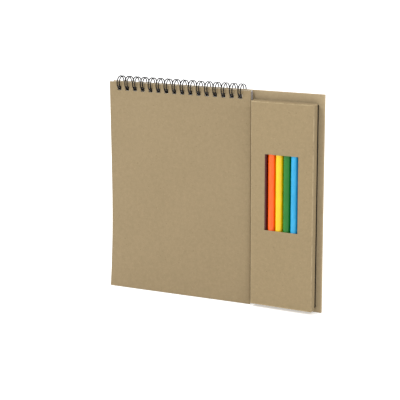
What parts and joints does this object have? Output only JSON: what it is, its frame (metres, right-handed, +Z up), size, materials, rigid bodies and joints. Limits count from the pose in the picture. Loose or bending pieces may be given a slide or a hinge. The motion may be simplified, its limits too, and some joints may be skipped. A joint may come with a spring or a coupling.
{
  "type": "wire-bound sketchbook with pencil box",
  "caption": "Top-bound kraft sketchbook with turning cover and sheets, on a wide back board that also carries a windowed card box of coloured pencils.",
  "frame": {"origin": "middle of the back board's bottom edge face, where the book stands", "axes": "+X to the reader's right along the board, +Y to the back, +Z up towards the wire binding"},
  "size_m": [0.217, 0.0175, 0.2066],
  "materials": {
    "kraft_board": "matt recycled kraft board with fine flecks",
    "kraft_cover": "matt recycled kraft card with fine flecks",
    "kraft_carton": "matt thin kraft carton card, creased at its folds",
    "coated_wire": "black nylon-coated steel wire, satin",
    "drawing_paper": "uncoated white drawing paper",
    "foam_tape": "black double-sided foam tape",
    "lacquer_brown": "gloss lacquer over a round wooden barrel, bare wood at the sharpened point",
    "lacquer_red": "gloss lacquer over a round wooden barrel, bare wood at the sharpened point",
    "lacquer_orange": "gloss lacquer over a round wooden barrel, bare wood at the sharpened point",
    "lacquer_yellow": "gloss lacquer over a round wooden barrel, bare wood at the sharpened point",
    "lacquer_green": "gloss lacquer over a round wooden barrel, bare wood at the sharpened point",
    "lacquer_light_blue": "gloss lacquer over a round wooden barrel, bare wood at the sharpened point",
    "lacquer_dark_blue": "gloss lacquer over a round wooden barrel, bare wood at the sharpened point",
    "lacquer_purple": "gloss lacquer over a round wooden barrel, bare wood at the sharpened point",
    "lead_brown": "waxy coloured lead",
    "lead_red": "waxy coloured lead",
    "lead_orange": "waxy coloured lead",
    "lead_yellow": "waxy coloured lead",
    "lead_green": "waxy coloured lead",
    "lead_light_blue": "waxy coloured lead",
    "lead_dark_blue": "waxy coloured lead",
    "lead_purple": "waxy coloured lead"
  },
  "bodies": {
    "book": {"back_board": "kraft_board", "wire_binding": "coated_wire", "pencil_box": "kraft_carton", "box_bottom_flaps": "kraft_carton", "box_foam_strips": "foam_tape"},
    "cover": {"front_cover": "kraft_cover"},
    "leaf_01": {"sheet_01": "drawing_paper"},
    "leaf_02": {"sheet_02": "drawing_paper"},
    "leaf_03": {"sheet_03": "drawing_paper"},
    "leaf_04": {"sheet_04": "drawing_paper"},
    "leaf_05": {"sheet_05": "drawing_paper"},
    "leaf_06": {"sheet_06": "drawing_paper"},
    "leaf_07": {"sheet_07": "drawing_paper"},
    "leaf_08": {"sheet_08": "drawing_paper"},
    "leaf_09": {"sheet_09": "drawing_paper"},
    "leaf_10": {"sheet_10": "drawing_paper"},
    "leaf_11": {"sheet_11": "drawing_paper"},
    "leaf_12": {"sheet_12": "drawing_paper"},
    "leaf_13": {"sheet_13": "drawing_paper"},
    "leaf_14": {"sheet_14": "drawing_paper"},
    "leaf_15": {"sheet_15": "drawing_paper"},
    "leaf_16": {"sheet_16": "drawing_paper"},
    "leaf_17": {"sheet_17": "drawing_paper"},
    "leaf_18": {"sheet_18": "drawing_paper"},
    "leaf_19": {"sheet_19": "drawing_paper"},
    "leaf_20": {"sheet_20": "drawing_paper"},
    "lid": {"box_lid": "kraft_carton"},
    "tongue": {"box_tuck_tongue": "kraft_carton"},
    "dust_flap_left": {"box_dust_flap_left": "kraft_carton"},
    "dust_flap_right": {"box_dust_flap_right": "kraft_carton"},
    "pencil_brown_body": {"pencil_brown": "lacquer_brown", "lead_brown": "lead_brown"},
    "pencil_red_body": {"pencil_red": "lacquer_red", "lead_red": "lead_red"},
    "pencil_orange_body": {"pencil_orange": "lacquer_orange", "lead_orange": "lead_orange"},
    "pencil_yellow_body": {"pencil_yellow": "lacquer_yellow", "lead_yellow": "lead_yellow"},
    "pencil_green_body": {"pencil_green": "lacquer_green", "lead_green": "lead_green"},
    "pencil_light_blue_body": {"pencil_light_blue": "lacquer_light_blue", "lead_light_blue": "lead_light_blue"},
    "pencil_dark_blue_body": {"pencil_dark_blue": "lacquer_dark_blue", "lead_dark_blue": "lead_dark_blue"},
    "pencil_purple_body": {"pencil_purple": "lacquer_purple", "lead_purple": "lead_purple"}
  },
  "joints": [
    {"name": "page_turn_01", "type": "hinge", "parent": "book", "child": "leaf_01", "pos_m": [0, -0.00445, 0.2], "axis": [-1, 0, 0], "range_deg": [0, 45]},
    {"name": "page_turn_02", "type": "hinge", "parent": "book", "child": "leaf_02", "pos_m": [0, -0.00445, 0.2], "axis": [-1, 0, 0], "range_deg": [0, 42.76]},
    {"name": "page_turn_03", "type": "hinge", "parent": "book", "child": "leaf_03", "pos_m": [0, -0.00445, 0.2], "axis": [-1, 0, 0], "range_deg": [0, 40.51]},
    {"name": "page_turn_04", "type": "hinge", "parent": "book", "child": "leaf_04", "pos_m": [0, -0.00445, 0.2], "axis": [-1, 0, 0], "range_deg": [0, 38.26]},
    {"name": "page_turn_05", "type": "hinge", "parent": "book", "child": "leaf_05", "pos_m": [0, -0.00445, 0.2], "axis": [-1, 0, 0], "range_deg": [0, 36.01]},
    {"name": "page_turn_06", "type": "hinge", "parent": "book", "child": "leaf_06", "pos_m": [0, -0.00445, 0.2], "axis": [-1, 0, 0], "range_deg": [0, 33.76]},
    {"name": "page_turn_07", "type": "hinge", "parent": "book", "child": "leaf_07", "pos_m": [0, -0.00445, 0.2], "axis": [-1, 0, 0], "range_deg": [0, 31.51]},
    {"name": "page_turn_08", "type": "hinge", "parent": "book", "child": "leaf_08", "pos_m": [0, -0.00445, 0.2], "axis": [-1, 0, 0], "range_deg": [0, 29.26]},
    {"name": "page_turn_09", "type": "hinge", "parent": "book", "child": "leaf_09", "pos_m": [0, -0.00445, 0.2], "axis": [-1, 0, 0], "range_deg": [0, 27.01]},
    {"name": "page_turn_10", "type": "hinge", "parent": "book", "child": "leaf_10", "pos_m": [0, -0.00445, 0.2], "axis": [-1, 0, 0], "range_deg": [0, 24.76]},
    {"name": "page_turn_11", "type": "hinge", "parent": "book", "child": "leaf_11", "pos_m": [0, -0.00445, 0.2], "axis": [-1, 0, 0], "range_deg": [0, 22.51]},
    {"name": "page_turn_12", "type": "hinge", "parent": "book", "child": "leaf_12", "pos_m": [0, -0.00445, 0.2], "axis": [-1, 0, 0], "range_deg": [0, 20.26]},
    {"name": "page_turn_13", "type": "hinge", "parent": "book", "child": "leaf_13", "pos_m": [0, -0.00445, 0.2], "axis": [-1, 0, 0], "range_deg": [0, 18.01]},
    {"name": "page_turn_14", "type": "hinge", "parent": "book", "child": "leaf_14", "pos_m": [0, -0.00445, 0.2], "axis": [-1, 0, 0], "range_deg": [0, 15.76]},
    {"name": "page_turn_15", "type": "hinge", "parent": "book", "child": "leaf_15", "pos_m": [0, -0.00445, 0.2], "axis": [-1, 0, 0], "range_deg": [0, 13.51]},
    {"name": "page_turn_16", "type": "hinge", "parent": "book", "child": "leaf_16", "pos_m": [0, -0.00445, 0.2], "axis": [-1, 0, 0], "range_deg": [0, 11.26]},
    {"name": "page_turn_17", "type": "hinge", "parent": "book", "child": "leaf_17", "pos_m": [0, -0.00445, 0.2], "axis": [-1, 0, 0], "range_deg": [0, 9.01]},
    {"name": "page_turn_18", "type": "hinge", "parent": "book", "child": "leaf_18", "pos_m": [0, -0.00445, 0.2], "axis": [-1, 0, 0], "range_deg": [0, 6.76]},
    {"name": "page_turn_19", "type": "hinge", "parent": "book", "child": "leaf_19", "pos_m": [0, -0.00445, 0.2], "axis": [-1, 0, 0], "range_deg": [0, 4.51]},
    {"name": "page_turn_20", "type": "hinge", "parent": "book", "child": "leaf_20", "pos_m": [0, -0.00445, 0.2], "axis": [-1, 0, 0], "range_deg": [0, 2.26]},
    {"name": "cover_turn", "type": "hinge", "parent": "leaf_01", "child": "cover", "pos_m": [0, -0.00445, 0.2], "axis": [-1, 0, 0], "range_deg": [0, 135]},
    {"name": "lid_open", "type": "hinge", "parent": "book", "child": "lid", "pos_m": [0.07264, -0.00415, 0.1926], "axis": [-1, 0, 0], "range_deg": [0, 90]},
    {"name": "tongue_fold", "type": "hinge", "parent": "lid", "child": "tongue", "pos_m": [0.07264, -0.01095, 0.1926], "axis": [-1, 0, 0], "range_deg": [-85.51, 0]},
    {"name": "dust_flap_left_lift", "type": "hinge", "parent": "book", "child": "dust_flap_left", "pos_m": [0.04209, -0.0078, 0.1926], "axis": [0, -1, 0], "range_deg": [0, 22.51]},
    {"name": "dust_flap_right_lift", "type": "hinge", "parent": "book", "child": "dust_flap_right", "pos_m": [0.10319, -0.0078, 0.1926], "axis": [0, 1, 0], "range_deg": [0, 22.51]},
    {"name": "pencil_brown_slide", "type": "slide", "parent": "book", "child": "pencil_brown_body", "axis": [0, 0, 1], "range_m": [0, 0.011]},
    {"name": "pencil_red_slide", "type": "slide", "parent": "book", "child": "pencil_red_body", "axis": [0, 0, 1], "range_m": [0, 0.011]},
    {"name": "pencil_orange_slide", "type": "slide", "parent": "book", "child": "pencil_orange_body", "axis": [0, 0, 1], "range_m": [0, 0.011]},
    {"name": "pencil_yellow_slide", "type": "slide", "parent": "book", "child": "pencil_yellow_body", "axis": [0, 0, 1], "range_m": [0, 0.011]},
    {"name": "pencil_green_slide", "type": "slide", "parent": "book", "child": "pencil_green_body", "axis": [0, 0, 1], "range_m": [0, 0.011]},
    {"name": "pencil_light_blue_slide", "type": "slide", "parent": "book", "child": "pencil_light_blue_body", "axis": [0, 0, 1], "range_m": [0, 0.011]},
    {"name": "pencil_dark_blue_slide", "type": "slide", "parent": "book", "child": "pencil_dark_blue_body", "axis": [0, 0, 1], "range_m": [0, 0.011]},
    {"name": "pencil_purple_slide", "type": "slide", "parent": "book", "child": "pencil_purple_body", "axis": [0, 0, 1], "range_m": [0, 0.011]}
  ],
  "couplings": [
    {"joint": "page_turn_02", "follows": "page_turn_01", "ratio": 0.95},
    {"joint": "page_turn_03", "follows": "page_turn_01", "ratio": 0.9},
    {"joint": "page_turn_04", "follows": "page_turn_01", "ratio": 0.85},
    {"joint": "page_turn_05", "follows": "page_turn_01", "ratio": 0.8},
    {"joint": "page_turn_06", "follows": "page_turn_01", "ratio": 0.75},
    {"joint": "page_turn_07", "follows": "page_turn_01", "ratio": 0.7},
    {"joint": "page_turn_08", "follows": "page_turn_01", "ratio": 0.65},
    {"joint": "page_turn_09", "follows": "page_turn_01", "ratio": 0.6},
    {"joint": "page_turn_10", "follows": "page_turn_01", "ratio": 0.55},
    {"joint": "page_turn_11", "follows": "page_turn_01", "ratio": 0.5},
    {"joint": "page_turn_12", "follows": "page_turn_01", "ratio": 0.45},
    {"joint": "page_turn_13", "follows": "page_turn_01", "ratio": 0.4},
    {"joint": "page_turn_14", "follows": "page_turn_01", "ratio": 0.35},
    {"joint": "page_turn_15", "follows": "page_turn_01", "ratio": 0.3},
    {"joint": "page_turn_16", "follows": "page_turn_01", "ratio": 0.25},
    {"joint": "page_turn_17", "follows": "page_turn_01", "ratio": 0.2},
    {"joint": "page_turn_18", "follows": "page_turn_01", "ratio": 0.15},
    {"joint": "page_turn_19", "follows": "page_turn_01", "ratio": 0.1},
    {"joint": "page_turn_20", "follows": "page_turn_01", "ratio": 0.05},
    {"joint": "tongue_fold", "follows": "lid_open", "ratio": -0.95},
    {"joint": "dust_flap_left_lift", "follows": "lid_open", "ratio": 0.25},
    {"joint": "dust_flap_right_lift", "follows": "lid_open", "ratio": 0.25}
  ]
}
